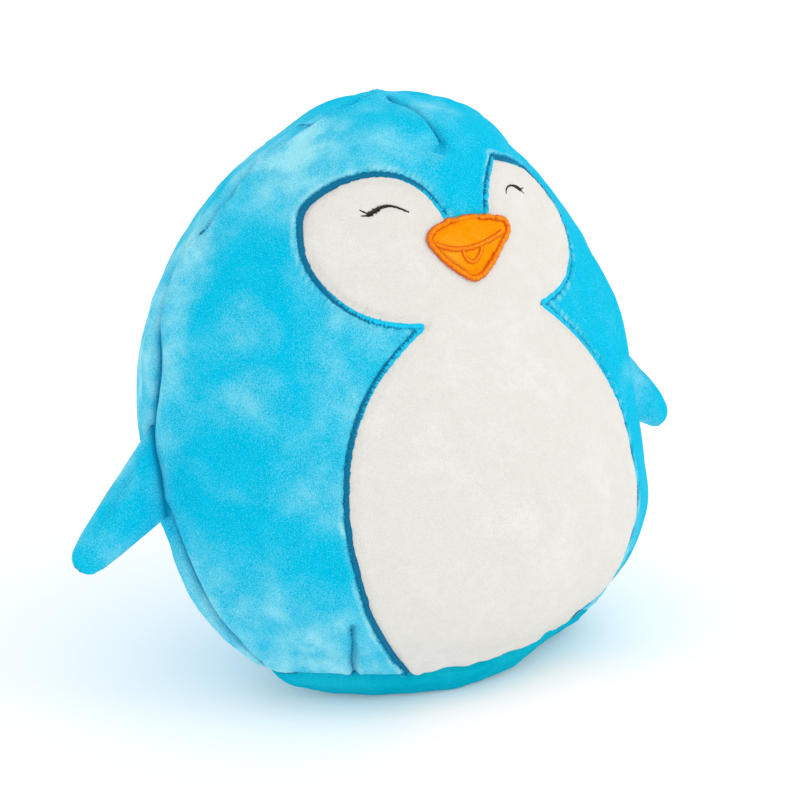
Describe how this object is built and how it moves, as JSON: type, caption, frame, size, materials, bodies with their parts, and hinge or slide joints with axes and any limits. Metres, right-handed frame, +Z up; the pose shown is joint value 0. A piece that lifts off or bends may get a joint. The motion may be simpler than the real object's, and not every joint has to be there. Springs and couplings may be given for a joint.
{
  "type": "plush penguin",
  "caption": "Stuffed plush penguin pillow with an embroidered sleepy face, a white face and belly, a flat base and flippers that swing at the side seams.",
  "frame": {"origin": "on the floor at the middle of the base, in the plane where the side seams come down to it", "axes": "+Z up, the face looks along -Y, and +X is to the right when the penguin is seen from the front"},
  "size_m": [0.4014, 0.24, 0.3004],
  "materials": {
    "blue_fabric": "short brushed pile",
    "base_fabric": "short smooth pile",
    "white_fabric": "fine short pile",
    "beak_fabric": "fine short pile",
    "border_thread": "satin stitch with a soft gloss",
    "beak_thread": "satin stitch with a soft gloss",
    "eye_thread": "satin stitch with a soft gloss",
    "blue_thread": "matte sewing thread",
    "stuffing": "loose polyester fibre"
  },
  "bodies": {
    "body": {"body_front_panel": "blue_fabric", "body_back_panel": "blue_fabric", "base_panel": "base_fabric", "body_stuffing": "stuffing", "side_seam_thread": "blue_thread", "base_seam_thread": "blue_thread", "closing_stitch": "blue_thread", "top_dart_stitching": "blue_thread", "left_dart_stitching": "blue_thread", "right_dart_stitching": "blue_thread", "face_belly_applique": "white_fabric", "applique_border_stitching": "border_thread", "left_eye_embroidery": "eye_thread", "right_eye_embroidery": "eye_thread", "beak_panel": "beak_fabric", "beak_border_stitching": "beak_thread", "beak_mouth_stitching": "beak_thread"},
    "left_flipper": {"left_flipper_front_panel": "blue_fabric", "left_flipper_back_panel": "blue_fabric", "left_flipper_stuffing": "stuffing", "left_flipper_seam_thread": "blue_thread"},
    "right_flipper": {"right_flipper_front_panel": "blue_fabric", "right_flipper_back_panel": "blue_fabric", "right_flipper_stuffing": "stuffing", "right_flipper_seam_thread": "blue_thread"}
  },
  "joints": [
    {"name": "left_flipper_swing", "type": "hinge", "parent": "body", "child": "left_flipper", "pos_m": [-0.1508, 0.04485, 0.126], "axis": [0, 0.2501, 0.9682], "range_deg": [-40, 70], "stiffness_Nm_per_rad": 0.004},
    {"name": "right_flipper_swing", "type": "hinge", "parent": "body", "child": "right_flipper", "pos_m": [0.1508, 0.04485, 0.126], "axis": [0, -0.2501, -0.9682], "range_deg": [-40, 70], "stiffness_Nm_per_rad": 0.004}
  ]
}
